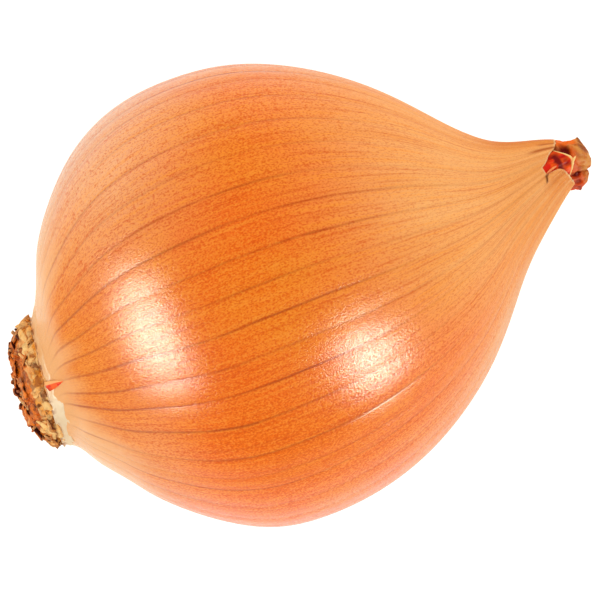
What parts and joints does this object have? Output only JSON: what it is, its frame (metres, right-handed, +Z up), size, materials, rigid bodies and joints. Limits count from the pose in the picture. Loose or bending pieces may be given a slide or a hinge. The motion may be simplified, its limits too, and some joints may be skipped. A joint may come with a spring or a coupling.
{
  "type": "onion",
  "caption": "Whole dry yellow onion in its papery orange-brown skin, lying on its side, with a torn papery neck and a corky root plate.",
  "frame": {"origin": "under the middle of the onion's bounding box, on the surface that it lies on", "axes": "+X from the root plate to the neck, +Y to the side that the neck leans to, +Z up"},
  "size_m": [0.1, 0.0748, 0.0741],
  "materials": {
    "outer_skin": "dry papery onion skin, satin, orange with darker brown veins",
    "dried_root": "rough and corky, brown with cream and yellow edges",
    "pale_skin": "dry papery skin, cream",
    "red_scale": "dried scale, dark orange-red with a pale rim",
    "brown_paper": "dry, matt, mottled brown"
  },
  "bodies": {
    "root": {"bulb": "outer_skin", "root_plate": "dried_root", "base_collar": "pale_skin", "inner_scale": "red_scale", "papery_tip": "brown_paper"}
  },
  "joints": []
}
